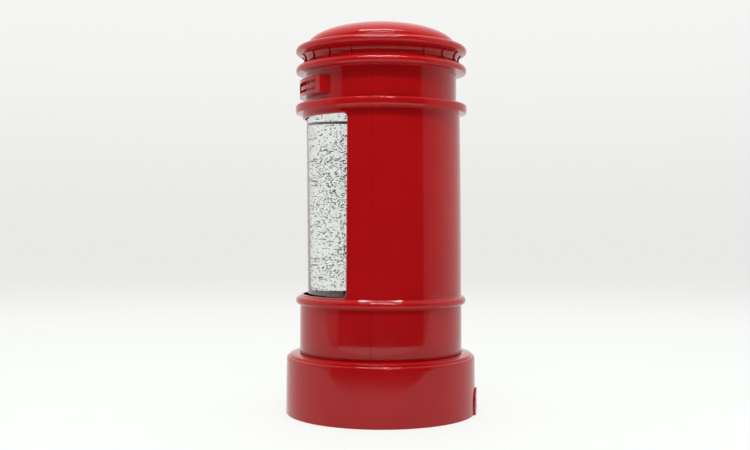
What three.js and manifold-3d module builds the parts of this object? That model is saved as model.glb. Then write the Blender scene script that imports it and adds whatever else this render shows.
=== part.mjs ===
// A battery lantern in the shape of a round pillar box: a red two-half shell on a round base, a clear
// tank of glitter water seen through a tall window, and a magnet-driven impeller that stirs the tank.
// Millimetres, +Z up, origin at the middle of the footprint. The window faces -Y, the socket +Y.

import * as THREE from "three";
import { mergeVertices } from "three/addons/utils/BufferGeometryUtils.js";
import Module from "manifold-3d";

const wasm = await Module();
wasm.setup();

// Driving dimensions
const TOTAL_HEIGHT = 258.5;
const GAP = 0.3; // clearance between pieces that touch on the real object
const RIM_Z = 0.2; // the base's lower edge, lifted by the feet
const BASE_R = 63.07;
const BASE_TOP_R = 62.7;
const BASE_TOP_Z = 40.2;
const BASE_WALL = 2.3;
const CEILING_Z = 37.0;
const SHELL_WALL = 2.0;
const BAND_R = 54.1;
const BEAD_R = 56.7;
const BEAD_Z = 74.75;
const BODY_FOOT_R = 53.85;
const BODY_MID_R = 53.45;
const BODY_TOP_R = 52.6;
const CORNICE_R = 57.2;
const CORNICE_LOW_Z = 198.5;
const CORNICE_TOP_Z = 204.4;
const NECK_R = 50.2;
const NECK_TOP_Z = 223.4;
const UPPER_RING_R = 56.9;
const UPPER_RING_Z = 227.1;
const COVE_R = 51.0;
const CAP_RIM_R = 57.0;
const CAP_RIM_Z = 239.8;
const DOME_R = 49.6;
const DOME_FOOT_Z = 243;
const DOME_POWER = 0.5; // an ellipse
const WINDOW_HALF_ANGLE = THREE.MathUtils.degToRad(72.6);
const WINDOW_LOW_Z = 78.6;
const WINDOW_TOP_Z = 195.0;
const WINDOW_CORNER = 3.5;
const HOOD_HALF_WIDTH = 42.1;
const HOOD_R = 54.45;
const HOOD_LOW_Z = 209;
const HOOD_TOP_Z = 220;
const SLOT_OUTER_X = 39.1;
const SLOT_INNER_X = 15.5; // the middle of the hood is plain
const SLOT_DEPTH = 3;
const SLOTS = [
  [210.95, 212.8],
  [215.25, 217.6],
];
const SLAT_DEPTH = 0.6; // the slat between two slots lies a little below the hood's face
const FRIEZE_RIBS = 20;
const FRIEZE_PHASE = THREE.MathUtils.degToRad(2.5);
const TANK_FOOT_R = 48.5;
const TANK_TOP_R = 49.9;
const TANK_WALL = 2.3;
const TANK_FLOOR_Z = 43.7;
const TANK_FLOOR = 2.5;
const TANK_RIM_Z = 197.2;
const LID_Z = 199.0;
const LID_TOP_Z = 201.3;
const WATER_Z = 195.9;
const MOUND_R = 44;
const MOUND_FOOT_Z = 66;
const MOUND_RISE = 12;
const MOUND_WALL = 2;
const SKIRT_R = 22.5;
const ROCK = [-2.5, -21];
const PLATE_LOW_Z = 0.9;
const PLATE_TOP_Z = 3.1;
const PLATE_R = 60.2;
const CELL_R = 7.2;
const CELL_BODY = 49.2;
const CELL_NUB = 1.2;
const CELL_PITCH = 15.2;
const CELL_Z = 11.6;
const BAY_X = 29.2;
const BAY_Y = 23.2;
const BAY_TOP_Z = 20.2;
const BAY_WALL = 1.6;
const DOOR_X = 30;
const DOOR_Y = 24.3;
const DOOR_TOP_Z = 2.8;
const HINGE_X = -29;
const HINGE_Z = 1.85;
const LATCH_X = 35.2;
const MOTOR_R = 12.2;
const MOTOR_LOW_Z = 22.4;
const MOTOR_TOP_Z = 34.7;
const BRACKET_Z = 35;
const BRACKET_TOP_Z = 36.7;
const BRACKET_R = 52;
const SHAFT_R = 1;
const BOARD_Z = 40.3;
const SOCKET_HALF_WIDTH = 5.5;
const SOCKET_LOW_Z = 4.2;
const SOCKET_TOP_Z = 11.2;
const PAD_HALF_WIDTH = 9;
const PAD_R = 64.2;
const PAD_TOP_Z = 17;
const SWITCH_Y = -42;
const SWITCH_REST_X = -2;
const FOOT_ANGLES = [45, 135, 225, 315];
const BASE_SCREW_ANGLES = [30, 150, 210, 330];
const SHELL_SCREW_ANGLES = [60, 120, 240, 300];
const FOOT_RING_R = 50;
const BASE_SCREW_RING_R = 56.4;
const SHELL_SCREW_RING_R = 49.2;

// Segments round a full turn
const ROUND = 40;
const MEDIUM = 24;
const SMALL = 10;

// Materials
const plastic = (color, roughness) => new THREE.MeshStandardMaterial({ color, roughness, metalness: 0 });
const metal = (color, roughness) => new THREE.MeshStandardMaterial({ color, roughness, metalness: 1 });
const redGloss = plastic(0xa50c12, 0.25);
const blackPlastic = plastic(0x1b1b1d, 0.5);
const whitePlastic = plastic(0xe6e4de, 0.4);
const rubber = plastic(0x2a2a2b, 0.8);
const greenBoard = plastic(0x1d5a32, 0.45);
const cellWrap = plastic(0x2f4a6b, 0.35);
const scenery = plastic(0x8c5a58, 0.6);
const copperWire = plastic(0x8d1a16, 0.5);
const steel = metal(0xb8bbc0, 0.3);
const magnet = metal(0x55575b, 0.5);
const lampWhite = plastic(0xf6f1d8, 0.3);
const clear = new THREE.MeshStandardMaterial({ color: 0xe9edee, roughness: 0.05, transparent: true, opacity: 0.35 });
const water = new THREE.MeshStandardMaterial({ color: 0xdfe6e8, roughness: 0.05, transparent: true, opacity: 0.5 });

const model = new THREE.Group();

// A closed body as a solid that can be cut and joined.
function solidFrom(positions, triangles) {
  const triVerts = new Uint32Array(triangles);
  const made = new wasm.Manifold(new wasm.Mesh({ numProp: 3, vertProperties: positions, triVerts }));
  if (made.volume() > 0) return made;
  for (let i = 0; i < triVerts.length; i += 3) {
    [triVerts[i + 1], triVerts[i + 2]] = [triVerts[i + 2], triVerts[i + 1]];
  }
  return new wasm.Manifold(new wasm.Mesh({ numProp: 3, vertProperties: positions, triVerts }));
}

function toSolid(geometry) {
  geometry.deleteAttribute("normal");
  geometry.deleteAttribute("uv");
  const merged = mergeVertices(geometry, 1e-4);
  const index = merged.index.array;
  const kept = [];
  for (let i = 0; i < index.length; i += 3) {
    const [a, b, c] = [index[i], index[i + 1], index[i + 2]];
    if (a !== b && b !== c && c !== a) kept.push(a, b, c);
  }
  return solidFrom(merged.attributes.position.array, kept);
}

function toGeometry(solid) {
  const { vertProperties, triVerts, numProp } = solid.getMesh();
  const geometry = new THREE.BufferGeometry();
  const positions = new Float32Array((vertProperties.length / numProp) * 3);
  for (let i = 0; i < positions.length / 3; i += 1) {
    positions.set(vertProperties.subarray(i * numProp, i * numProp + 3), i * 3);
  }
  geometry.setAttribute("position", new THREE.BufferAttribute(positions, 3));
  geometry.setIndex(new THREE.BufferAttribute(new Uint32Array(triVerts), 1));
  geometry.computeVertexNormals();
  return geometry;
}

function add(name, solid, material, x = 0, y = 0, z = 0) {
  const mesh = new THREE.Mesh(toGeometry(solid), material);
  mesh.name = name;
  mesh.position.set(x, y, z);
  model.add(mesh);
  return mesh;
}

// A body turned about the vertical axis from an outline of [radius, height] points.
function turned(outline, segments = ROUND) {
  const points = outline.map(([r, z]) => new THREE.Vector2(r, z));
  const closesOnAxis = points[0].x === 0 && points.at(-1).x === 0;
  if (!closesOnAxis) points.push(points[0].clone());
  return toSolid(new THREE.LatheGeometry(points, segments).rotateX(Math.PI / 2));
}

function box(x0, x1, y0, y1, z0, z1) {
  const geometry = new THREE.BoxGeometry(x1 - x0, y1 - y0, z1 - z0);
  return toSolid(geometry.translate((x0 + x1) / 2, (y0 + y1) / 2, (z0 + z1) / 2));
}

// An upright round bar from z0 to z1.
function bar(r, z0, z1, x = 0, y = 0, segments = SMALL) {
  const geometry = new THREE.CylinderGeometry(r, r, z1 - z0, segments).rotateX(Math.PI / 2);
  return toSolid(geometry.translate(x, y, (z0 + z1) / 2));
}

// A bar along X or Y, from a to b.
function crossBar(axis, r, a, b, u, z, segments = SMALL) {
  const geometry = new THREE.CylinderGeometry(r, r, b - a, segments);
  if (axis === "x") return toSolid(geometry.rotateZ(Math.PI / 2).translate((a + b) / 2, u, z));
  return toSolid(geometry.translate(u, (a + b) / 2, z));
}

function ring(rIn, rOut, z0, z1, segments = MEDIUM) {
  return turned([[rIn, z0], [rOut, z0], [rOut, z1], [rIn, z1]], segments);
}

// A body through a row of outlines with the same number of points, closed at both ends.
function lofted(outlines) {
  const count = outlines[0].length;
  const triangles = [];
  for (let i = 0; i + 1 < outlines.length; i += 1) {
    for (let j = 0; j < count; j += 1) {
      const a = i * count + j;
      const b = i * count + ((j + 1) % count);
      triangles.push(a, b, a + count, b, b + count, a + count);
    }
  }
  const last = (outlines.length - 1) * count;
  for (let j = 1; j + 1 < count; j += 1) {
    triangles.push(0, j + 1, j, last, last + j, last + j + 1);
  }
  return solidFrom(new Float32Array(outlines.flat(2)), triangles);
}

// A block between two upright cylinders, with its ends parallel to Y, on the -Y side.
function curvedBlock(rIn, rOut, halfWidth, z0, z1, steps = 14) {
  const outlines = [];
  for (let i = 0; i <= steps; i += 1) {
    const x = halfWidth * (-1 + (2 * i) / steps);
    const yIn = -Math.sqrt(rIn ** 2 - x ** 2);
    const yOut = -Math.sqrt(rOut ** 2 - x ** 2);
    outlines.push([[x, yIn, z0], [x, yOut, z0], [x, yOut, z1], [x, yIn, z1]]);
  }
  return lofted(outlines);
}

function tube(points, radius, steps, sides = 6) {
  const path = new THREE.CatmullRomCurve3(points.map((p) => new THREE.Vector3(...p)));
  return tubeAlong(path, radius, steps, sides);
}

function tubeAlong(path, radius, steps, sides) {
  const section = new THREE.Shape();
  for (let i = 0; i < sides; i += 1) {
    const turn = (2 * Math.PI * i) / sides;
    const [x, y] = [radius * Math.cos(turn), radius * Math.sin(turn)];
    if (i === 0) section.moveTo(x, y);
    else section.lineTo(x, y);
  }
  return toSolid(new THREE.ExtrudeGeometry(section, { steps, extrudePath: path, bevelEnabled: false }));
}

// A place on a ring, from its angle in degrees counted from +X.
function onRing(radius, degrees) {
  const turn = THREE.MathUtils.degToRad(degrees);
  return [radius * Math.cos(turn), radius * Math.sin(turn)];
}

const domeZ = (r) => DOME_FOOT_Z + (TOTAL_HEIGHT - DOME_FOOT_Z) * Math.max(0, 1 - (r / DOME_R) ** 2) ** DOME_POWER;
const moundZ = (r) => MOUND_FOOT_Z + MOUND_RISE * Math.max(0, 1 - (r / MOUND_R) ** 2) ** 0.7;

// Head

function addRoofCap() {
  const radii = [48.8, 46, 40, 31, 20];
  const spigotR = 48.3;
  const outline = [
    [spigotR, 233],
    [spigotR, 237],
    [54.6, 237],
    [56.3, 238.3],
    [CAP_RIM_R, CAP_RIM_Z],
    [56.3, 241.3],
    [54.2, 242.7],
    [DOME_R, DOME_FOOT_Z],
    ...radii.map((r) => [r, domeZ(r)]),
    [0, TOTAL_HEIGHT],
    [0, TOTAL_HEIGHT - SHELL_WALL],
    ...[30, 44].map((r) => [r, domeZ(r) - SHELL_WALL - 0.4]),
    [spigotR - 1.8, 243],
    [spigotR - 1.8, 233],
    [spigotR, 233],
  ];
  const closed = outline.slice(outline.findIndex(([r]) => r === 0) + 1);
  const start = outline.slice(1, outline.findIndex(([r]) => r === 0) + 1);
  add("roof_cap", turned([...closed, ...start]), redGloss);
}

function addFriezeCollar() {
  const spigotR = NECK_R - SHELL_WALL - GAP;
  let collar = turned([
    [NECK_R, NECK_TOP_Z + GAP],
    [NECK_R, 225.2],
    [56, 225.2],
    [56.7, 225.9],
    [UPPER_RING_R, UPPER_RING_Z],
    [56.4, 228.8],
    [55.1, 230],
    [53.2, 230.9],
    [51.7, 232],
    [COVE_R, 233.7],
    [51.7, 235.4],
    [53.4, 236.7],
    [48.6, 236.7],
    [48.6, 231],
    [spigotR - 1.8, 225],
    [spigotR - 1.8, 220],
    [spigotR, 220],
    [spigotR, NECK_TOP_Z + GAP],
  ]);
  for (let i = 0; i < FRIEZE_RIBS; i += 1) {
    const rib = new THREE.BoxGeometry(2.6, 1.7, 5.2).translate(50.5, 0, 233.8);
    collar = collar.add(toSolid(rib.rotateZ((2 * Math.PI * i) / FRIEZE_RIBS + FRIEZE_PHASE)));
  }
  add("frieze_collar", collar, redGloss);
}

// Shell halves

function shellOfBothHalves() {
  const shell = turned([
    [BAND_R, 40],
    [BAND_R - 0.2, 71.7],
    [56.2, 72.9],
    [BEAD_R, BEAD_Z],
    [56.2, 76.6],
    [BODY_FOOT_R, 77.8],
    [BODY_MID_R, 137],
    [BODY_TOP_R, CORNICE_LOW_Z],
    [56.5, CORNICE_LOW_Z],
    [CORNICE_R, 199.4],
    [CORNICE_R, 202.6],
    [55.8, 204.1],
    [NECK_R, CORNICE_TOP_Z],
    [NECK_R, NECK_TOP_Z],
    [NECK_R - SHELL_WALL, NECK_TOP_Z],
    [NECK_R - SHELL_WALL, LID_TOP_Z + GAP],
    [BODY_TOP_R - SHELL_WALL, LID_TOP_Z + GAP],
    [BODY_FOOT_R - SHELL_WALL, 79],
    [BODY_FOOT_R - SHELL_WALL, TANK_FLOOR_Z - GAP],
    [46.5, TANK_FLOOR_Z - GAP],
    [46.5, 40],
  ]);
  const pilots = SHELL_SCREW_ANGLES.map((a) => bar(1.6, 39, 43, ...onRing(SHELL_SCREW_RING_R, a)));
  return pilots.reduce((body, pilot) => body.subtract(pilot), shell);
}

// The window's outline follows the curved wall, with rounded corners.
function windowCutter() {
  const outlines = [];
  const add = (angle) => {
    const toEdge = (WINDOW_HALF_ANGLE - Math.abs(angle)) * BODY_MID_R;
    const into = Math.max(0, WINDOW_CORNER - toEdge);
    const lift = WINDOW_CORNER - Math.sqrt(WINDOW_CORNER ** 2 - into ** 2);
    const place = (r, z) => [r * Math.sin(angle), -r * Math.cos(angle), z];
    const [low, high] = [WINDOW_LOW_Z + lift, WINDOW_TOP_Z - lift];
    outlines.push([place(46, low), place(60, low), place(60, high), place(46, high)]);
  };
  const cornerAngles = [3.5, 2.6, 1.5, 0.6, 0].map((s) => WINDOW_HALF_ANGLE - s / BODY_MID_R);
  const steps = 20;
  cornerAngles.toReversed().forEach((angle) => add(-angle));
  for (let i = 1; i < steps; i += 1) add(cornerAngles[0] * (-1 + (2 * i) / steps));
  cornerAngles.forEach((angle) => add(angle));
  return lofted(outlines);
}

function addShells() {
  const both = shellOfBothHalves();
  const reach = 70;
  const pegHole = (x) => box(x - 2.8, x + 2.8, -52, -40, 211.7, 217.3);
  const front = both
    .intersect(box(-reach, reach, -reach, -GAP / 2, 30, 230))
    .subtract(windowCutter())
    .subtract(pegHole(-8))
    .subtract(pegHole(8));
  const rear = both.intersect(box(-reach, reach, GAP / 2, reach, 30, 230));
  add("front_shell", front, redGloss);
  add("rear_shell", rear, redGloss);
}

function addPostingHood() {
  let hood = curvedBlock(NECK_R + GAP, HOOD_R, HOOD_HALF_WIDTH, HOOD_LOW_Z, HOOD_TOP_Z);
  const middle = box(-SLOT_INNER_X, SLOT_INNER_X, -70, -30, 200, 230);
  const groove = (depth, low, high) =>
    curvedBlock(HOOD_R - depth, HOOD_R + 3, SLOT_OUTER_X, low, high).subtract(middle);
  for (const [low, high] of SLOTS) hood = hood.subtract(groove(SLOT_DEPTH, low, high));
  hood = hood.subtract(groove(SLAT_DEPTH, SLOTS[0][1] - 0.1, SLOTS[1][0] + 0.1));
  for (const x of [-8, 8]) hood = hood.add(box(x - 2.5, x + 2.5, -51, -45, 212, 217));
  add("posting_hood", hood, redGloss);
}

// Base

function addBaseShell() {
  const innerR = BASE_TOP_R - BASE_WALL;
  let shell = turned([
    [BASE_R, RIM_Z],
    [BASE_TOP_R, 36.6],
    [BASE_TOP_R - 0.9, 38],
    [60.3, 38.2],
    [59.8, 39.3],
    [BAND_R + GAP, BASE_TOP_Z],
    [BAND_R + GAP, 39.7],
    [45, 39.7],
    [45, CEILING_Z],
    [innerR, CEILING_Z],
    [innerR + 0.3, RIM_Z],
  ]);
  for (const angle of BASE_SCREW_ANGLES) {
    const place = onRing(BASE_SCREW_RING_R, angle);
    shell = shell.add(bar(3.2, PLATE_TOP_Z + GAP, CEILING_Z + 0.5, ...place));
    shell = shell.subtract(bar(1.6, 3, 15, ...place));
  }
  for (const angle of SHELL_SCREW_ANGLES) {
    shell = shell.subtract(bar(1.9, 36, 41, ...onRing(SHELL_SCREW_RING_R, angle)));
  }
  const arch = new THREE.Shape();
  arch.moveTo(-PAD_HALF_WIDTH, RIM_Z);
  arch.lineTo(PAD_HALF_WIDTH, RIM_Z);
  arch.absarc(0, PAD_TOP_Z - PAD_HALF_WIDTH, PAD_HALF_WIDTH, 0, Math.PI);
  const archBar = new THREE.ExtrudeGeometry(arch, { depth: 8, bevelEnabled: false, curveSegments: 10 });
  const pad = toSolid(archBar.rotateX(Math.PI / 2).translate(0, 68, 0));
  shell = shell.add(pad.intersect(ring(61.5, PAD_R, 0, 30, 96)));
  shell = shell.subtract(box(-SOCKET_HALF_WIDTH, SOCKET_HALF_WIDTH, 55, 70, SOCKET_LOW_Z, SOCKET_TOP_Z));
  add("base_shell", shell, redGloss);
}

function addBasePlate() {
  const outX = BAY_X + BAY_WALL;
  const outY = BAY_Y + BAY_WALL;
  let plate = bar(PLATE_R, PLATE_LOW_Z, PLATE_TOP_Z, 0, 0, ROUND)
    .add(box(-outX, outX, -outY, outY, PLATE_TOP_Z - 0.1, BAY_TOP_Z + BAY_WALL))
    .add(bar(3.4, PLATE_TOP_Z - 0.1, 11, LATCH_X))
    .add(box(outX - 0.5, LATCH_X, -1.2, 1.2, PLATE_TOP_Z - 0.1, 11))
    .subtract(box(-BAY_X, BAY_X, -BAY_Y, BAY_Y, 0, BAY_TOP_Z))
    .subtract(box(-DOOR_X - GAP, DOOR_X + GAP, -DOOR_Y - GAP, DOOR_Y + GAP, 0, PLATE_TOP_Z))
    .subtract(box(DOOR_X - 1, LATCH_X + 3.3, -6.3, 6.3, 0, PLATE_TOP_Z))
    .subtract(bar(1.75, 0, 9.5, LATCH_X))
    .subtract(crossBar("y", 0.85, -DOOR_Y - 1.6, DOOR_Y + 1.6, HINGE_X, HINGE_Z))
    .subtract(box(-5.2, 5.2, SWITCH_Y - 2.3, SWITCH_Y + 2.3, 0, 5));
  for (const angle of FOOT_ANGLES) {
    plate = plate.subtract(bar(5.3, 0, 1.5, ...onRing(FOOT_RING_R, angle), 16));
  }
  for (const angle of BASE_SCREW_ANGLES) {
    const place = onRing(BASE_SCREW_RING_R, angle);
    plate = plate.subtract(bar(3.1, 0, 2.1, ...place)).subtract(bar(1.7, 0, 5, ...place));
  }
  add("base_plate", plate, blackPlastic);
}

function addBatteryDoor() {
  const edgeR = HINGE_Z - PLATE_LOW_Z;
  const door = box(HINGE_X, DOOR_X, -DOOR_Y, DOOR_Y, PLATE_LOW_Z, DOOR_TOP_Z)
    .add(crossBar("y", edgeR, -DOOR_Y, DOOR_Y, HINGE_X, HINGE_Z))
    .add(crossBar("y", 0.6, -DOOR_Y - 1.3, DOOR_Y + 1.3, HINGE_X, HINGE_Z))
    .add(box(DOOR_X - 2, LATCH_X + 3, -6, 6, PLATE_LOW_Z, DOOR_TOP_Z))
    .subtract(bar(1.6, 0, 5, LATCH_X))
    .subtract(bar(2.9, 0, 2, LATCH_X));
  add("battery_door", door, blackPlastic);
  const screw = bar(2.6, 1, 1.7, LATCH_X)
    .add(bar(1.3, 1.6, 8, LATCH_X))
    .subtract(box(LATCH_X - 2, LATCH_X + 2, -0.4, 0.4, 0.5, 1.3));
  add("door_screw", screw, steel);
}

function addFastenersAndFeet() {
  FOOT_ANGLES.forEach((angle, i) => {
    add(`foot_${i + 1}`, bar(5, 0, 1.2, 0, 0, 16), rubber, ...onRing(FOOT_RING_R, angle));
  });
  const baseScrew = bar(2.8, 1.1, 1.8).add(bar(1.3, 1.7, 13)).subtract(box(-2.2, 2.2, -0.4, 0.4, 0.6, 1.4));
  BASE_SCREW_ANGLES.forEach((angle, i) => {
    add(`base_screw_${i + 1}`, baseScrew, steel, ...onRing(BASE_SCREW_RING_R, angle));
  });
  const shellScrew = bar(2.8, 33.2, 34.7).add(bar(1.3, 34.6, 42.6)).subtract(box(-2.2, 2.2, -0.4, 0.4, 33, 33.7));
  SHELL_SCREW_ANGLES.forEach((angle, i) => {
    add(`shell_screw_${i + 1}`, shellScrew, steel, ...onRing(SHELL_SCREW_RING_R, angle));
  });
}

// Tank

function addTank() {
  const tank = turned([
    [0, TANK_FLOOR_Z],
    [TANK_FOOT_R, TANK_FLOOR_Z],
    [TANK_TOP_R, TANK_RIM_Z],
    [TANK_TOP_R - TANK_WALL, TANK_RIM_Z],
    [TANK_FOOT_R - TANK_WALL, TANK_FLOOR_Z + TANK_FLOOR],
    [0, TANK_FLOOR_Z + TANK_FLOOR],
  ]).subtract(bar(SHAFT_R + GAP, 45.2, 50));
  add("water_tank", tank, clear);
  add("tank_gasket", ring(47.2, TANK_TOP_R - 0.2, TANK_RIM_Z + GAP, LID_Z - GAP), rubber);
  const spigotR = TANK_TOP_R - TANK_WALL - 0.4;
  const lid = turned([
    [5, LID_Z],
    [spigotR - 2, LID_Z],
    [spigotR - 2, 196.4],
    [spigotR, 196.4],
    [spigotR, LID_Z],
    [TANK_TOP_R, LID_Z],
    [TANK_TOP_R, LID_TOP_Z],
    [5, LID_TOP_Z],
  ], MEDIUM);
  add("tank_lid", lid, clear);
  const plug = bar(4.6, 196, LID_TOP_Z + 0.6, 0, 0, 16).add(bar(8, LID_TOP_Z + GAP, 203.6, 0, 0, 16));
  add("fill_plug", plug, whitePlastic);
}

// A low rock at the front of the scenery, grown all round by a clearance.
function rock(clearance) {
  const c = clearance;
  const [x, y] = ROCK;
  return turned([[0, 74.2], [5 + c, 74.2], [4.6 + c, 77 + c], [3 + c, 79 + c], [0, 79.8 + c]], 12).translate([x, y, 0]);
}

function addGlitterWater() {
  const above = [0, 14, 26, 35, 41, MOUND_R].map((r) => [r, moundZ(r) + GAP]);
  const below = [41, 34, SKIRT_R + GAP].map((r) => [r, moundZ(r) - MOUND_WALL - GAP]);
  const wallR = (z) => TANK_FOOT_R - TANK_WALL - GAP + ((TANK_TOP_R - TANK_FOOT_R) * (z - TANK_FLOOR_Z)) / 153.5;
  const floorZ = TANK_FLOOR_Z + TANK_FLOOR + GAP;
  const outline = [
    ...above,
    [MOUND_R + GAP + 0.1, MOUND_FOOT_Z],
    [MOUND_R + GAP + 0.1, MOUND_FOOT_Z - MOUND_WALL - GAP],
    [MOUND_R, MOUND_FOOT_Z - MOUND_WALL - GAP],
    ...below,
    [SKIRT_R + GAP, floorZ],
    [wallR(floorZ), floorZ],
    [wallR(WATER_Z), WATER_Z],
    [0, WATER_Z],
  ];
  add("glitter_water", turned(outline, MEDIUM).subtract(rock(GAP)), water);
}

function addSceneryDeck() {
  const top = [0, 14, 26, 35, 41, MOUND_R].map((r) => [r, moundZ(r)]);
  const under = [41, 34, 26, 14, 0].map((r) => [r, moundZ(r) - MOUND_WALL]);
  let deck = turned([...top, [MOUND_R, MOUND_FOOT_Z - MOUND_WALL], ...under], MEDIUM);
  deck = deck.add(ring(SKIRT_R - 2, SKIRT_R, TANK_FLOOR_Z + TANK_FLOOR + GAP, 74.8));
  deck = deck.add(rock(0));
  const arms = [0, 60, 120];
  for (const degrees of arms) {
    const turn = THREE.MathUtils.degToRad(degrees);
    const inlet = new THREE.BoxGeometry(60, 7, 7).translate(0, 0, 54);
    deck = deck.subtract(toSolid(inlet.rotateZ(turn)));
    deck = deck.subtract(bar(3, 60, 85, ...onRing(12, degrees)));
    deck = deck.subtract(bar(3, 60, 85, ...onRing(12, degrees + 180)));
  }
  add("scenery_deck", deck, scenery);
}

function addImpeller() {
  let wheel = ring(1.3, 18, 49.2, 51.2).add(ring(1.3, 3.2, 51, 58, 16));
  const blades = 6;
  for (let i = 0; i < blades; i += 1) {
    const blade = new THREE.BoxGeometry(14.5, 1.6, 6).translate(9.8, 0, 54);
    wheel = wheel.add(toSolid(blade.rotateZ((2 * Math.PI * i) / blades)));
  }
  add("impeller_wheel", wheel, whitePlastic);
  add("impeller_magnet", ring(8, 15, 46.9, 48.9), magnet);
  add("impeller_pin", bar(SHAFT_R, 45.5, 60), steel);
}

// Drive

function addDrive() {
  let bracket = ring(3, BRACKET_R, BRACKET_Z, BRACKET_TOP_Z).add(
    ring(MOTOR_R + GAP, MOTOR_R + 2.2, MOTOR_LOW_Z + 2, BRACKET_Z + 0.1),
  );
  const ventR = 9;
  for (const angle of [0, 90, 180, 270]) bracket = bracket.subtract(bar(ventR, 34, 38, ...onRing(30, angle), 16));
  for (const angle of [45, 135, 225, 315]) {
    bracket = bracket.add(bar(2.6, BRACKET_TOP_Z - 0.1, BOARD_Z - GAP, ...onRing(32, angle)));
  }
  for (const angle of SHELL_SCREW_ANGLES) {
    bracket = bracket.subtract(bar(1.9, 34, 38, ...onRing(SHELL_SCREW_RING_R, angle)));
  }
  add("motor_bracket", bracket, blackPlastic);
  const can = bar(MOTOR_R, MOTOR_LOW_Z, MOTOR_TOP_Z, 0, 0, 24).subtract(bar(SHAFT_R + GAP, 26, 36));
  add("motor_can", can, steel);
  add("motor_shaft", bar(SHAFT_R, 26.3, 40.8), steel);
  const pocket = ring(9.7, 15.8, 39, 42);
  const hub = ring(SHAFT_R + GAP, 17, 37.3, 41).subtract(pocket);
  add("magnet_hub", hub, whitePlastic);
  add("drive_magnet", ring(10, 15.5, 39.3, 42.3), magnet);
  const board = ring(19, 43, BOARD_Z, BOARD_Z + 1.6);
  add("led_board", board, greenBoard);
  [0, 90, 180, 270].forEach((angle, i) => {
    add(`led_${i + 1}`, box(-1.8, 1.8, -1.8, 1.8, 42.2, 43.3), lampWhite, ...onRing(31, angle));
  });
}

// Power

class Helix extends THREE.Curve {
  constructor(radius, length, turns) {
    super();
    Object.assign(this, { radius, length, turns });
  }

  getPoint(t) {
    const turn = 2 * Math.PI * this.turns * t;
    return new THREE.Vector3(this.length * t, this.radius * Math.cos(turn), this.radius * Math.sin(turn));
  }
}

function addCells() {
  for (let i = 0; i < 3; i += 1) {
    const side = i === 1 ? -1 : 1;
    const y = (i - 1) * CELL_PITCH;
    const nubTip = 28.3;
    const shoulder = nubTip - CELL_NUB;
    const body = crossBar("x", CELL_R, shoulder - CELL_BODY, shoulder, 0, 0, 20);
    const cell = body.add(crossBar("x", 2.7, shoulder - 0.5, nubTip, 0, 0));
    const mesh = add(`cell_${i + 1}`, cell, cellWrap, 0, y, CELL_Z);
    if (side < 0) mesh.rotation.z = Math.PI;
    const wireR = 0.4;
    const springEnd = shoulder - CELL_BODY - GAP - wireR;
    const springStart = -28.3 + wireR;
    const path = new Helix(3.2, springEnd - springStart, 3);
    const spring = add(`cell_spring_${i + 1}`, tubeAlong(path, wireR, 27, 4), steel, side * springStart, y, CELL_Z);
    if (side < 0) spring.rotation.z = Math.PI;
  }
  const strip = (name, side, low, high) => {
    const [inner, outer] = [28.6, 28.9];
    const [x0, x1] = side > 0 ? [inner, outer] : [-outer, -inner];
    add(name, box(x0, x1, low, high, 6, 17.4), steel);
  };
  const half = CELL_PITCH / 2;
  strip("contact_plus", 1, -CELL_PITCH - 5, -half - 1);
  strip("contact_link_right", 1, -half + 1, CELL_PITCH + 5);
  strip("contact_link_left", -1, -CELL_PITCH - 5, half - 1);
  strip("contact_minus", -1, half + 1, CELL_PITCH + 5);
}

function addElectrics() {
  add("control_board", box(-13, 13, 31, 59, 4.4, 6), greenBoard);
  const socket = box(-3.9, 3.9, 52.5, 60.1, 6.3, 9.1).subtract(box(-3.3, 3.3, 54, 61, 6.9, 8.5));
  add("usb_socket", socket, steel);
  const housing = box(-7, 7, SWITCH_Y - 3.2, SWITCH_Y + 3.2, 5.2, 10).subtract(
    box(-4.6, 4.6, SWITCH_Y - 1.5, SWITCH_Y + 1.5, 5, 8.5),
  );
  add("switch_body", housing, blackPlastic);
  const knob = box(-2.2, 2.2, -1.9, 1.9, 1.2, 4.8).add(box(-1.6, 1.6, -1.1, 1.1, 4.7, 8));
  add("switch_knob", knob, whitePlastic, SWITCH_REST_X, SWITCH_Y, 0);
  const wire = 0.6;
  const boardTop = 6.6 + GAP;
  const runs = {
    wire_switch: [[-6, SWITCH_Y - 3.8, 8], [-30, -44, 10], [-44, -22, 10], [-46, 10, 10], [-30, 34, 9], [-12, 40, boardTop]],
    wire_battery: [[31.5, -12, 14], [40, -6, 16], [43, 8, 16], [32, 30, 12], [12, 38, boardTop]],
    wire_motor: [[5, 33, boardTop], [6, 32, 14], [6, 29, 21], [8, 20, 24.5], [8, 15.2, 27]],
    wire_leds: [[-6, 48, boardTop], [-7, 47, 16], [-7, 38, 26], [-4, 32.5, 33], [-4, 30.2, 39.2]],
  };
  for (const [name, points] of Object.entries(runs)) add(name, tube(points, wire, 12), copperWire);
}

addRoofCap();
addFriezeCollar();
addShells();
addPostingHood();
addBaseShell();
addBasePlate();
addBatteryDoor();
addFastenersAndFeet();
addTank();
addGlitterWater();
addSceneryDeck();
addImpeller();
addDrive();
addCells();
addElectrics();

export default model;
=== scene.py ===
# %% [markdown]
# # A glitter water lantern in the shape of a pillar box
#
# The frame holds the working parts at their real places. This lesson puts the fine surface over
# them: turned plastic shells with real edges, a clear tank, water full of glitter, and the plain
# pale studio that the lantern stands in. All lengths are metres, and Z is up.

# %% Load the frame
import math
import random

import bpy
import numpy as np
from mathutils import Matrix, Vector, noise

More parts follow.
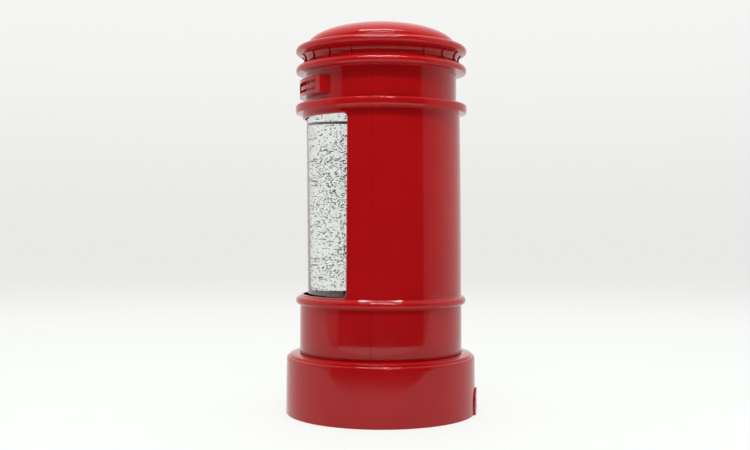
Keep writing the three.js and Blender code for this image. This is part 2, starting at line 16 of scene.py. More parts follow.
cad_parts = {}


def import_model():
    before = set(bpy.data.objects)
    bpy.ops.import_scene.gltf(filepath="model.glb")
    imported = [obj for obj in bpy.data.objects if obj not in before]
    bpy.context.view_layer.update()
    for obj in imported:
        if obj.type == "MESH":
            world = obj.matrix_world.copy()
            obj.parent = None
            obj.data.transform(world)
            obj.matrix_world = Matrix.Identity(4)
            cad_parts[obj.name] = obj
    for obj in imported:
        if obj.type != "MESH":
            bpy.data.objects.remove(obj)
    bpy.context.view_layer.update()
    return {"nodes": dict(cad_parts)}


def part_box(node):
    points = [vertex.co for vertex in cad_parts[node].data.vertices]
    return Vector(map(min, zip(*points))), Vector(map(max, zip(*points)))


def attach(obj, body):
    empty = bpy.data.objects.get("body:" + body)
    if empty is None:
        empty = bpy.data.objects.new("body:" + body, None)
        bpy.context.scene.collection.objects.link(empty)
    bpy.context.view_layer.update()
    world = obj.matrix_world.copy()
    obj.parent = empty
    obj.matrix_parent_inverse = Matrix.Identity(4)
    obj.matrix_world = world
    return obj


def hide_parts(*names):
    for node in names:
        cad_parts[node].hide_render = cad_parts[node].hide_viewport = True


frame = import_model()
MM = 0.001
BODY = "lantern"

# %% [markdown]
# ## The camera and the studio
#
# The camera comes first, because everything is judged from it. It stands a little under half way up
# the lantern and looks almost level, so the rings read as shallow curves. A camera is placed by its
# angle round the lantern, its distance from the axis and its height. It could be aimed with a Track
# To constraint, but two plain angles say the same and stay put.

# %% Camera
AZIMUTH = math.radians(96.9)
DISTANCE = 674.6 * MM
CAMERA_HEIGHT = 127.7 * MM
SIDESTEP = -3.97 * MM
PITCH_DOWN = math.radians(0.265)
LENS_MM = 48.27
ROLL = math.radians(0.093)

TOWARD_CAMERA = Vector((math.sin(AZIMUTH), -math.cos(AZIMUTH), 0))
CAMERA_RIGHT = Vector((math.cos(AZIMUTH), math.sin(AZIMUTH), 0))

camera_data = bpy.data.cameras.new("camera")
camera_data.lens = LENS_MM
camera_data.sensor_width = 36
camera_data.clip_start = 0.01
camera = bpy.data.objects.new("camera", camera_data)
camera.location = TOWARD_CAMERA * DISTANCE + CAMERA_RIGHT * SIDESTEP
camera.location.z = CAMERA_HEIGHT
camera.rotation_euler = (math.pi / 2 - PITCH_DOWN, 0, AZIMUTH)
camera.rotation_euler.rotate_axis("Z", ROLL)
bpy.context.collection.objects.link(camera)
bpy.context.scene.camera = camera
print("camera at", tuple(round(v, 3) for v in camera.location))

# %% [markdown]
# ## Helpers for modelling by hand
#
# An operator acts on whatever is selected, so each piece starts with nothing selected. A piece that
# was turned on a lathe is drawn as half an outline, one vertex pulled along from point to point, and
# then spun round the axis. Spin leaves a double seam and may leave the faces looking inwards, so the
# doubles are merged first and the normals are made consistent after.

# %% Modelling helpers
FINE = 256
SMOOTH_ANGLE = math.radians(34)


def clear_selection():
    if bpy.context.mode != "OBJECT":
        bpy.ops.object.mode_set(mode="OBJECT")
    bpy.ops.object.select_all(action="DESELECT")


def take(piece):
    """Selects one piece and makes it active."""
    clear_selection()
    piece.select_set(True)
    bpy.context.view_layer.objects.active = piece
    return piece


def named(name):
    piece = bpy.context.object
    piece.name = name
    piece.data.name = name
    return piece


def arc(r, z, radius, start, end, steps):
    """Points of a round stretch about (r, z), in millimetres, from one angle in degrees to another."""
    turns = [math.radians(start + (end - start) * i / steps) for i in range(steps + 1)]
    return [(r + radius * math.cos(t), z + radius * math.sin(t)) for t in turns]


def turn(name, outline, steps=FINE, closed=True):
    """A turned piece from an outline of (radius, height) points in millimetres."""
    points = [Vector((r * MM, 0, z * MM)) for r, z in outline]
    if closed:
        points.append(points[0].copy())
    clear_selection()
    bpy.ops.mesh.primitive_plane_add(size=MM, location=(0, 0, 0))
    piece = named(name)
    bpy.ops.object.mode_set(mode="EDIT")
    bpy.ops.mesh.select_all(action="SELECT")
    bpy.ops.mesh.merge(type="CENTER")
    bpy.ops.transform.translate(value=points[0])
    for here, there in zip(points, points[1:]):
        bpy.ops.mesh.extrude_vertices_move(TRANSFORM_OT_translate={"value": there - here})
    bpy.ops.mesh.select_all(action="SELECT")
    bpy.ops.mesh.spin(steps=steps, angle=2 * math.pi, center=(0, 0, 0), axis=(0, 0, 1))
    bpy.ops.mesh.select_all(action="SELECT")
    bpy.ops.mesh.remove_doubles(threshold=0.002 * MM)
    bpy.ops.mesh.normals_make_consistent(inside=False)
    bpy.ops.object.mode_set(mode="OBJECT")
    return piece


def block(name, low, high):
    """A box between two corners in millimetres, with its place in its mesh."""
    clear_selection()
    bpy.ops.mesh.primitive_cube_add(size=1, location=[(a + b) / 2 * MM for a, b in zip(low, high)])
    piece = named(name)
    piece.scale = [(b - a) * MM for a, b in zip(low, high)]
    bpy.ops.object.transform_apply(location=True, rotation=True, scale=True)
    return piece


def rod(name, radius, low, high, x=0, y=0, vertices=48, axis="Z"):
    """A round bar along an axis, from low to high in millimetres."""
    clear_selection()
    middle = (low + high) / 2
    place = {"Z": (x, y, middle), "X": (middle, x, y), "Y": (x, middle, y)}[axis]
    turned_by = {"Z": (0, 0, 0), "X": (0, math.pi / 2, 0), "Y": (math.pi / 2, 0, 0)}[axis]
    bpy.ops.mesh.primitive_cylinder_add(
        vertices=vertices, radius=radius * MM, depth=(high - low) * MM,
        location=[v * MM for v in place], rotation=turned_by,
    )
    piece = named(name)
    bpy.ops.object.transform_apply(location=True, rotation=True, scale=True)
    return piece


def apply_modifier(piece, kind, **settings):
    take(piece)
    modifier = piece.modifiers.new(kind.lower(), kind)
    for key, value in settings.items():
        setattr(modifier, key, value)
    bpy.ops.object.modifier_apply(modifier=modifier.name)
    return piece


def combine(piece, tool, operation):
    """Cuts, joins or trims piece by tool, and then throws the tool away."""
    apply_modifier(piece, "BOOLEAN", operation=operation, object=tool, solver="EXACT")
    bpy.data.objects.remove(tool, do_unlink=True)
    return piece


def cut(piece, tool):
    return combine(piece, tool, "DIFFERENCE")


def join(piece, tool):
    return combine(piece, tool, "UNION")


def keep_side(piece, point, direction):
    """Bisects piece by a plane, throws away what lies ahead of it and closes the cut."""
    take(piece)
    bpy.ops.object.mode_set(mode="EDIT")
    bpy.ops.mesh.select_all(action="SELECT")
    bpy.ops.mesh.bisect(
        plane_co=[v * MM for v in point], plane_no=direction,
        use_fill=True, clear_outer=True, threshold=0.0001 * MM,
    )
    bpy.ops.object.mode_set(mode="OBJECT")
    return piece


def bevel_where(piece, test, width, segments=3):
    """Bevels the edges whose two ends both pass a test on their place in millimetres."""
    take(piece)
    bpy.ops.object.mode_set(mode="EDIT")
    bpy.ops.mesh.select_mode(type="EDGE")
    bpy.ops.mesh.select_all(action="DESELECT")
    bpy.ops.object.mode_set(mode="OBJECT")
    passes = [test(*(v.co / MM)) for v in piece.data.vertices]
    for edge in piece.data.edges:
        edge.select = passes[edge.vertices[0]] and passes[edge.vertices[1]]
    bpy.ops.object.mode_set(mode="EDIT")
    bpy.ops.mesh.bevel(offset=width * MM, segments=segments, profile=0.5, clamp_overlap=True)
    bpy.ops.mesh.select_mode(type="VERT")
    bpy.ops.object.mode_set(mode="OBJECT")
    return piece


def soften(piece, width, segments=3, angle=40):
    """Rounds every edge that is sharper than an angle."""
    apply_modifier(
        piece, "BEVEL", width=width * MM, segments=segments, limit_method="ANGLE",
        angle_limit=math.radians(angle), use_clamp_overlap=True, harden_normals=False,
    )
    return piece


def smooth(piece, angle=SMOOTH_ANGLE):
    take(piece)
    bpy.ops.object.shade_smooth_by_angle(angle=angle)
    return piece


def fit(piece, material, slot, *nodes, body=BODY):
    """Gives a finished piece its material and its body, and hides the frame nodes that it stands for. The
    slot argument is not used.
    """
    piece.data.materials.clear()
    piece.data.materials.append(material)
    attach(piece, body)
    if nodes:
        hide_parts(*nodes)
    triangles = sum(len(p.vertices) - 2 for p in piece.data.polygons)
    print(f"{piece.name}: {triangles} triangles")
    return piece


# %% [markdown]
# ## Helpers for materials
#
# A pattern is a sum of a few noises, so the shader maths is written as ordinary expressions. A Wire
# wraps one socket and knows how to add, subtract, multiply and divide, and each sign adds one Math
# node. Everything else comes from one method that adds any node.

# %% Material helpers


class Wire:
    """One output socket of a material."""

    def __init__(self, paint, socket):
        self.paint = paint
        self.socket = socket

    def maths(self, operation, *others):
        return self.paint.node("ShaderNodeMath", {"operation": operation}, dict(enumerate((self, *others))))

    def __add__(self, other):
        return self.maths("ADD", other)

    def __radd__(self, other):
        return self.maths("ADD", other)

    def __sub__(self, other):
        return self.maths("SUBTRACT", other)

    def __rsub__(self, other):
        return self.paint.node("ShaderNodeMath", {"operation": "SUBTRACT"}, {0: other, 1: self})

    def __mul__(self, other):
        return self.maths("MULTIPLY", other)

    def __rmul__(self, other):
        return self.maths("MULTIPLY", other)

    def ramp(self, low, high, out_low=0.0, out_high=1.0):
        """Stretches the stretch from low to high over out_low to out_high, and holds the ends."""
        sockets = {"Value": self, "From Min": low, "From Max": high, "To Min": out_low, "To Max": out_high}
        return self.paint.node("ShaderNodeMapRange", {"clamp": True}, sockets)


class Paint:
    """One procedural material, with its shader's plain values set straight on the shader."""

    def __init__(self, name, **values):
        self.material = bpy.data.materials.new(name)
        self.material.use_nodes = True
        self.tree = self.material.node_tree
        self.shader = self.tree.nodes["Principled BSDF"]
        for key, value in values.items():
            self.set(key.replace("_", " "), value)

    def set(self, socket, value):
        target = self.shader.inputs[socket]
        if isinstance(value, Wire):
            self.tree.links.new(value.socket, target)
        elif isinstance(value, tuple):
            target.default_value = (*value, 1)[:4]
        else:
            target.default_value = value

    def node(self, kind, settings=None, sockets=None, output=0):
        made = self.tree.nodes.new(kind)
        for key, value in (settings or {}).items():
            setattr(made, key, value)
        for key, value in (sockets or {}).items():
            if isinstance(value, Wire):
                self.tree.links.new(value.socket, made.inputs[key])
            else:
                made.inputs[key].default_value = value
        return Wire(self, made.outputs[output])

    def place(self):
        return self.node("ShaderNodeTexCoord", output="Object")

    def stretched(self, x, y, z):
        """The piece's own coordinates, scaled along each axis."""
        return self.node("ShaderNodeMapping", {}, {"Vector": self.place(), "Scale": (x, y, z)})

    def noise(self, scale, detail=2.0, roughness=0.5, vector=None):
        sockets = {"Vector": vector or self.place(), "Scale": scale, "Detail": detail}
        return self.node("ShaderNodeTexNoise", {}, {**sockets, "Roughness": roughness})

    def cells(self, scale, feature="F1", output="Distance", vector=None):
        sockets = {"Vector": vector or self.place(), "Scale": scale}
        return self.node("ShaderNodeTexVoronoi", {"feature": feature}, sockets, output)

    def blend(self, factor, a, b):
        """A colour that goes from a to b."""
        sockets = {"Factor": factor}
        for key, value in (("A", a), ("B", b)):
            sockets[key] = value if isinstance(value, Wire) else (*value, 1)
        return self.colour_mix(sockets)

    def colour_mix(self, sockets):
        made = self.tree.nodes.new("ShaderNodeMix")
        made.data_type = "RGBA"
        for key, index in (("Factor", 0), ("A", 6), ("B", 7)):
            value = sockets[key]
            if isinstance(value, Wire):
                self.tree.links.new(value.socket, made.inputs[index])
            else:
                made.inputs[index].default_value = value
        return Wire(self, made.outputs[2])

    def bump(self, height, distance, strength=1.0, under=None):
        sockets = {"Height": height, "Distance": distance, "Strength": strength}
        if under is not None:
            sockets["Normal"] = under
        return self.node("ShaderNodeBump", {}, sockets)


# %% [markdown]
# ## The red plastic
#
# The shell is one glossy, evenly coloured plastic, so its life comes from what gloss does. The mould
# leaves a very slow waviness that bends reflections, polishing leaves a fine haze, and handling
# leaves faint smears that are a little rougher than the rest.

# %% Red plastic


def red_plastic(name):
    paint = Paint(name, IOR=1.39)
    waves = paint.noise(55, 1.0)
    grain = paint.noise(2600, 3.0)
    smears = paint.noise(90, 4.0, 0.6, paint.stretched(1, 1, 0.35)).ramp(0.45, 0.75)
    scuffs = paint.noise(420, 3.0, 0.6).ramp(0.70, 0.78)
    tone = paint.noise(30, 2.0).ramp(0.3, 0.7)
    colour = paint.blend(tone, (0.385, 0.0048, 0.0066), (0.43, 0.0062, 0.0082))
    paint.set("Base Color", paint.blend(scuffs * 0.05, colour, (0.60, 0.10, 0.09)))
    paint.set("Roughness", 0.06 + smears * 0.05 + grain * 0.02 + scuffs * 0.08)
    relief = paint.bump(waves, 0.10 * MM, 0.25)
    paint.set("Normal", paint.bump(grain, 0.003 * MM, 0.3, relief))
    return paint.material


RED = red_plastic("red_plastic")

# %% [markdown]
# ## The shell halves
#
# The body, its band, the beads and the neck are one turned wall, moulded in two halves that meet at
# the sides. It is turned whole and then bisected, so that both halves share every ring. The halves
# stay a hair apart, and the bevel on each lip catches the light as a real parting line does.

# %% Outline of the shell wall
BEAD_RADIUS = 2.85
BEAD_Z = 74.75
CORNICE_LOW = 198.5
NECK_R = 50.2
NECK_TOP = 223.4
WALL = 2.0
LID_SEAT_Z = 201.6
LIP = 0.4


def body_radius(z):
    """The body swells slightly: it narrows slowly at first and faster towards the cornice."""
    t = (z - 79) / 118
    return 53.85 - 0.392 * t - 0.858 * t * t


def shell_outline():
    points = arc(54.1 - LIP, 40 + LIP, LIP, -90, 0, 3)
    points += [(54.06, 50), (54.0, 62), (53.95, BEAD_Z - BEAD_RADIUS - 0.35)]
    points += arc(53.95, BEAD_Z, BEAD_RADIUS, -82, 82, 18)
    points += [(body_radius(z), z) for z in (78.1, 90, 102, 114, 126, 138, 150, 162, 174, 186, 197.7)]
    points += arc(body_radius(198) + 0.4, 198.1, 0.4, 180, 90, 3)
    points += arc(56.2, CORNICE_LOW + 0.7, 0.7, -90, -10, 5)
    points += [(57.1, 200.1)]
    points += arc(55.4, 202.6, 1.8, 0, 84, 8)
    points += [(52.5, 204.5)]
    points += arc(NECK_R + 0.4, 205.0, 0.4, 270, 180, 3)
    points += [(NECK_R, 211), (NECK_R, 217), (NECK_R, NECK_TOP)]
    points += [(NECK_R - WALL, NECK_TOP), (NECK_R - WALL, LID_SEAT_Z), (50.5, LID_SEAT_Z)]
    points += [(50.7, 198), (51.3, 140), (51.85, 79), (51.9, 43.4), (46.5, 43.4), (46.5, 40)]
    return points


whole_shell = turn("front_shell", shell_outline())
print("shell wall turned:", len(whole_shell.data.vertices), "vertices")

# %% [markdown]
# ## The window
#
# The window is cut by a plug with the window's outline, wrapped round the axis. The plug flares out
# in a quarter circle just before it leaves the wall, so the cut leaves a round edge behind it, and
# no bevel has to find its way through the curved wall. The plug starts as a flat plate that is cut
# into upright strips, so that it can be wrapped smoothly.

# %% Window plug
WINDOW_HALF = math.radians(72.35)
WINDOW_LOW = 78.7
WINDOW_TOP = 195.0
WINDOW_CORNER = 3.5
WINDOW_ROUND = 1.2
WRAP_RADIUS = 53.4
PLUG_START_R = 46
BODY_TOP_R = 52.6
STRIPS = 64


def window_plug():
    half = WINDOW_HALF * WRAP_RADIUS
    middle = (WINDOW_LOW + WINDOW_TOP) / 2
    tall = (WINDOW_TOP - WINDOW_LOW) / 2
    clear_selection()
    bpy.ops.mesh.primitive_plane_add(size=2, location=(0, 0, 0), rotation=(math.pi / 2, 0, 0))
    plug = named("window_plug")
    plug.scale = (half * MM, tall * MM, 1)
    plug.location = (0, -PLUG_START_R * MM, middle * MM)
    bpy.ops.object.transform_apply(location=True, rotation=True, scale=True)
    bpy.ops.object.mode_set(mode="EDIT")
    bpy.ops.mesh.select_all(action="SELECT")
    bpy.ops.mesh.bevel(offset=WINDOW_CORNER * MM, segments=8, affect="VERTICES")
    straight = half - WINDOW_CORNER - 0.3
    for i in range(STRIPS + 1):
        bpy.ops.mesh.select_all(action="SELECT")
        x = straight * (-1 + 2 * i / STRIPS) * MM
        bpy.ops.mesh.bisect(plane_co=(x, 0, 0), plane_no=(1, 0, 0))
    layers = [(BODY_TOP_R - WINDOW_ROUND, 0.0)]
    for degrees in (20, 40, 58, 74):
        t = math.radians(degrees)
        reach = BODY_TOP_R - WINDOW_ROUND + WINDOW_ROUND * math.sin(t)
        layers.append((reach, WINDOW_ROUND * (1 - math.cos(t))))
    layers.append((62, layers[-1][1] + 2.5))
    bpy.ops.mesh.select_all(action="SELECT")
    depth, grown = PLUG_START_R, 0.0
    for radius, flare in layers:
        bpy.ops.mesh.extrude_region_move(TRANSFORM_OT_translate={"value": (0, -(radius - depth) * MM, 0)})
        factors = ((half + flare) / (half + grown), 1, (tall + flare) / (tall + grown))
        bpy.ops.transform.resize(value=factors, center_override=(0, 0, middle * MM))
        depth, grown = radius, flare
    bpy.ops.mesh.select_all(action="SELECT")
    bpy.ops.mesh.normals_make_consistent(inside=False)
    bpy.ops.object.mode_set(mode="OBJECT")
    return plug


def wrap(piece):
    """Wraps a flat piece round the axis. Its depth becomes a radius that follows the swelling body."""
    for vertex in piece.data.vertices:
        x, y, z = vertex.co / MM
        angle = x / WRAP_RADIUS
        radius = -y
        if radius > 50:
            radius += body_radius(z) - BODY_TOP_R
        vertex.co = Vector((radius * math.sin(angle), -radius * math.cos(angle), z)) * MM
    return piece


# %% Cut the halves and the window
SEAM = 0.02
PANEL_ANGLE = 36.4
PEG_X = 8


def shell_half(piece, side):
    """side is -1 for the half in front and 1 for the half behind."""
    keep_side(piece, (0, side * SEAM, 0), (0, -side, 0))
    inner = 52.2

    def on_lip(x, y, z):
        far = math.hypot(x, y) > (inner if 41 < z < 204 else NECK_R - 0.4)
        return far and abs(y - side * SEAM) < 0.001

    return bevel_where(piece, on_lip, 0.09, 2)


take(whole_shell)
bpy.ops.object.duplicate()
rear_shell = named("rear_shell")
front_shell = shell_half(whole_shell, -1)
rear_shell = shell_half(rear_shell, 1)
front_shell = cut(front_shell, wrap(window_plug()))
for x in (-PEG_X, PEG_X):
    front_shell = cut(front_shell, block("peg_hole", (x - 2.8, -52, 211.7), (x + 2.8, -40, 217.3)))
for side in (-1, 1):
    turned = math.radians(270 + side * PANEL_ANGLE)
    line = block("panel_line", (NECK_R - 0.35, -0.2, 204), (NECK_R + 2, 0.2, 223))
    line.data.transform(Matrix.Rotation(turned, 4, "Z"))
    front_shell = cut(front_shell, line)
front_shell.name = "front_shell_moulding"
rear_shell.name = "rear_shell_moulding"
fit(smooth(front_shell), RED, "red_plastic", "front_shell")
fit(smooth(rear_shell), RED, "red_plastic", "rear_shell")

# %% [markdown]
# ## The posting hood
#
# The hood is a block that follows the neck. Its ends were pulled straight out of the mould, so they
# are flat and parallel. A ring of the right section is turned first and trimmed by three planes,
# which gives those ends exactly. The two blind slots are cut by thinner rings that are trimmed in
# the same way and rounded at their ends.

# %% Posting hood
HOOD_HALF = 42.1
HOOD_R = 54.45
SLOT_OUTER = 39.1
SLOT_INNER = 15.5
SLOT_DEPTH = 3.0
SLAT_DEPTH = 0.6


def trimmed_ring(name, r_in, r_out, low, high, half):
    piece = turn(name, [(r_in, low), (r_out, low), (r_out, high), (r_in, high)])
    keep_side(piece, (0, -5, 0), (0, 1, 0))
    keep_side(piece, (half, 0, 0), (1, 0, 0))
    return keep_side(piece, (-half, 0, 0), (-1, 0, 0))


def groove_cutter(side, depth, low, high):
    cutter = trimmed_ring("groove_cutter", HOOD_R - depth, HOOD_R + 3, low, high, SLOT_OUTER)
    keep_side(cutter, (side * SLOT_INNER, 0, 0), (-side, 0, 0))
    return bevel_where(cutter, lambda x, y, z: abs(abs(x) - SLOT_OUTER) < 0.001, 0.7, 4)


hood = trimmed_ring("posting_hood_moulding", NECK_R + 0.02, HOOD_R, 209, 220, HOOD_HALF)
for side in (-1, 1):
    cut(hood, groove_cutter(side, SLAT_DEPTH, 211.6, 217))
    for low, high in ((210.95, 212.8), (215.25, 217.6)):
        cut(hood, groove_cutter(side, SLOT_DEPTH, low, high))
for x in (-PEG_X, PEG_X):
    join(hood, block("peg", (x - 2.5, -51, 212), (x + 2.5, -45, 217)))
soften(hood, 0.3)
fit(smooth(hood, math.radians(50)), RED, "red_plastic", "posting_hood")

# %% [markdown]
# ## The frieze collar and the cap
#
# The collar carries the upper ring and a hollow frieze with a row of slim upright ribs. One rib is
# modelled and copied round. The cap is a shallow elliptic dome that sinks into a round rim.

# %% Frieze collar
RIBS = 20
RIB_PHASE = math.radians(2.5)


def collar_outline():
    points = [(NECK_R, 223.46), (NECK_R, 224.9)]
    points += arc(NECK_R + 0.3, 224.9, 0.3, 180, 90, 3)
    points += arc(56.0, 225.9, 0.7, -90, -14, 5)
    points += arc(53.7, 227.1, 3.2, -8, 60, 12)
    points += [(54.6, 230.15), (53.9, 230.35), (53.1, 230.7)]
    points += arc(54.6, 233.75, 3.6, 236, 120, 14)
    return points + [(48.6, 236.85), (48.6, 231), (46.1, 225), (46.1, 220), (47.9, 220), (47.9, 223.46)]


def rib(turned):
    """A small upright web, hollowed like the frieze behind it."""
    piece = block("rib", (50.2, -0.75, 229.8), (54.6, 0.75, 237.4))
    hollow = rod("rib_hollow", 3.3, -3, 3, 55.1, 233.75, 40, "Y")
    cut(piece, hollow)
    soften(piece, 0.25, 2)
    piece.data.transform(Matrix.Rotation(turned, 4, "Z"))
    return piece


collar = turn("frieze_collar_moulding", collar_outline())
smooth(collar)
ribs = [smooth(rib(2 * math.pi * i / RIBS + RIB_PHASE)) for i in range(RIBS)]
clear_selection()
for piece in ribs:
    piece.select_set(True)
bpy.context.view_layer.objects.active = ribs[0]
bpy.ops.object.join()
all_ribs = bpy.context.object
keep_side(all_ribs, (0, 0, 236.8), (0, 0, 1))
join(collar, all_ribs)
fit(smooth(collar), RED, "red_plastic", "frieze_collar")

# %% Roof cap
DOME_R = 49.6
DOME_FOOT = 243.0
DOME_RISE = 15.5


def dome_points(radius, foot, start, end, steps):
    """Points of an elliptic dome, from one share of the quarter turn to another."""
    shares = [start + (end - start) * i / steps for i in range(steps + 1)]
    turns = [math.pi / 2 * share for share in shares]
    return [(max(radius * math.cos(t), 0), foot + DOME_RISE * math.sin(t)) for t in turns]


def cap_outline():
    points = [(48.3, 236.95), (53.4, 236.95), (54.6, 237.3), (55.6, 237.9)]
    points += arc(56.0, 238.85, 0.7, -80, -14, 5)
    points += arc(54.05, 239.85, 2.95, -8, 96, 12)
    points += [(52.0, 242.68), (50.4, 242.62), (49.75, 242.8)]
    points += dome_points(DOME_R, DOME_FOOT, 0.03, 1, 32)
    points += dome_points(47.4, DOME_FOOT - 2.2, 1, 0.25, 12)
    return points + [(46.5, 243), (46.5, 233), (48.3, 233)]


cap = turn("roof_cap_moulding", cap_outline())
fit(smooth(cap), RED, "red_plastic", "roof_cap")

# %% [markdown]
# ## The base
#
# The base is a wide drum with a small step and a sloping top. It is turned like the rest, and the
# arch-topped pad round the power socket is joined on behind. The pad is an extruded arch, trimmed to
# a cylinder a little larger than the drum.

# %% Base shell
PAD_HALF = 9.0
PAD_R = 64.2
PAD_TOP = 17.0
RIM_Z = 0.08


def base_outline():
    points = arc(63.2 - 0.4, RIM_Z + 0.4, 0.4, -90, 0, 3)
    points += [(63.1, 12), (63.0, 22), (62.8, 34.5)]
    points += arc(61.15, 36.45, 1.6, 2, 84, 9)
    points += [(60.75, 38.1)]
    points += arc(60.05, 38.72, 0.65, -6, 78, 6)
    points += [(57, 39.7), (54.7, 40.1), (54.45, 40.02), (54.45, 39.7)]
    points += [(45, 39.7), (45, 37), (60.2, 36.9), (60.4, 30), (60.7, RIM_Z)]
    return points


def rear_pad():
    clear_selection()
    bpy.ops.mesh.primitive_cylinder_add(
        vertices=64, radius=PAD_HALF * MM, depth=8 * MM,
        location=(0, 65 * MM, (PAD_TOP - PAD_HALF) * MM), rotation=(math.pi / 2, 0, 0),
    )
    pad = named("rear_pad")
    bpy.ops.object.transform_apply(location=True, rotation=True, scale=True)
    join(pad, block("pad_foot", (-PAD_HALF, 61, RIM_Z), (PAD_HALF, 69, PAD_TOP - PAD_HALF)))
    drum = turn("pad_drum", [(61.6, 0), (PAD_R, 0), (PAD_R, 24), (61.6, 24)])
    combine(pad, drum, "INTERSECT")
    return pad


base = turn("base_shell_moulding", base_outline())
join(base, rear_pad())
opening = block("socket_cutter", (-5.5, 55, 4.2), (5.5, 70, 11.2))
bevel_where(opening, lambda x, y, z: True, 0.01, 1)
cut(base, opening)
fit(smooth(base), RED, "red_plastic", "base_shell")

# %% [markdown]
# ## The tank and its water
#
# The tank is a clear beaker, and the water in it is a lens: it shows what stands behind the lantern.
# Each is a closed body with its own refractive index. The water reaches a hair into the wall, so
# that light goes from one straight into the other, and no film of air shines between them. Lamps
# shine through clear bodies only as a refraction, which is slow to find, so their shadows are let
# through instead.

# %% Clear materials


def clear_material(name, colour, ior, roughness):
    paint = Paint(name, Base_Color=colour, IOR=ior, Roughness=roughness)
    paint.set("Transmission Weight", 1.0)
    haze = paint.noise(900, 2.0).ramp(0.3, 0.8)
    paint.set("Roughness", roughness + haze * 0.015)
    through = paint.node("ShaderNodeBsdfTransparent", {}, {"Color": (*colour, 1)})
    lamp_ray = paint.node("ShaderNodeLightPath", output="Is Shadow Ray")
    shader = Wire(paint, paint.shader.outputs[0])
    mixed = paint.node("ShaderNodeMixShader", {}, {0: lamp_ray, 1: shader, 2: through})
    paint.tree.links.new(mixed.socket, paint.tree.nodes["Material Output"].inputs["Surface"])
    return paint.material


CLEAR = clear_material("clear_plastic", (0.97, 0.985, 0.98), 1.57, 0.01)
WATER = clear_material("glitter_water", (0.99, 0.99, 0.975), 1.345, 0.0)

# %% Tank, lid and water
TANK_FLOOR = 43.7
TANK_RIM = 197.2
TANK_WALL = 2.3
WATER_TOP = 195.9


def tank_radius(z):
    return 48.5 + 1.4 * (z - TANK_FLOOR) / (TANK_RIM - TANK_FLOOR)


def tank_outline():
    points = [(0, TANK_FLOOR)]
    points += arc(47.6, TANK_FLOOR + 1, 1.0, -90, 0, 4)
    points += [(tank_radius(z), z) for z in (80, 120, 160)]
    points += [(tank_radius(TANK_RIM), TANK_RIM), (tank_radius(TANK_RIM) - TANK_WALL, TANK_RIM)]
    points += [(tank_radius(z) - TANK_WALL, z) for z in (160, 120, 80)]
    points += arc(45.4, 47.2, 1.0, 0, -90, 4)
    return points + [(1.0, 46.2), (1.0, 45.4), (0, 45.4)]


def water_outline():
    skin = 0.05
    foot = 46.1
    points = [(0, foot), (tank_radius(foot) - TANK_WALL + skin, foot)]
    points += [(tank_radius(z) - TANK_WALL + skin, z) for z in (80, 120, 160, WATER_TOP)]
    return points + [(0, WATER_TOP)]


def lid_outline():
    points = [(5, 199), (45.2, 199), (45.2, 196.7)]
    points += arc(45.5, 196.7, 0.3, 180, 270, 3)[1:]
    points += arc(46.7, 196.7, 0.3, 270, 360, 3)
    return points + [(47.0, 199), (49.9, 199), (49.9, 201.3), (5, 201.3)]


tank = turn("water_tank_wall", tank_outline(), 192, closed=False)
fit(smooth(tank), CLEAR, "clear_plastic", "water_tank")
lid = turn("tank_lid_clear", lid_outline(), 192)
fit(smooth(lid), CLEAR, "clear_plastic", "tank_lid")
water = turn("water_body", water_outline(), 192, closed=False)
fit(smooth(water), WATER, "glitter_water", "glitter_water")

# %% [markdown]
# ## The glitter
#
# Thousands of hexagonal flakes drift in the water. One flake is modelled, and its copies are turned
# and placed by seeded random numbers, thinner towards the top and gathered in loose drifts. They are
# one mesh per half of the tank, because a separate object for each flake would be slow.

# %% Glitter flakes
FLAKES = 4600
FLAKE_R = 0.47
FLAKE_THICK = 0.06
MOUND_R = 44.0
MOUND_FOOT = 66.0
MOUND_RISE = 12.0


def mound_top(r):
    return MOUND_FOOT + MOUND_RISE * max(0, 1 - (r / MOUND_R) ** 2) ** 0.7


def flake_shape():
    clear_selection()
    bpy.ops.mesh.primitive_cylinder_add(vertices=6, radius=FLAKE_R * MM, depth=FLAKE_THICK * MM)
    flake = bpy.context.object
    corners = np.array([v.co for v in flake.data.vertices])
    faces = [tuple(p.vertices) for p in flake.data.polygons]
    bpy.data.objects.remove(flake, do_unlink=True)
    return corners, faces


def flake_place(draw, low, high):
    """A place in the water between two heights, in millimetres."""
    while True:
        r = 46.2 * math.sqrt(draw.random())
        turned = 2 * math.pi * draw.random()
        z = low + (high - low) * draw.random()
        if z < mound_top(r) + 0.6:
            continue
        place = Vector((r * math.cos(turned), r * math.sin(turned), z))
        drift = 0.5 + 0.5 * noise.noise(Vector((place.x / 16, place.y / 16, z / 5)))
        fill = min(1, 0.30 + (WATER_TOP - z) / 45)
        if draw.random() < fill * (0.35 + 0.9 * drift):
            return place


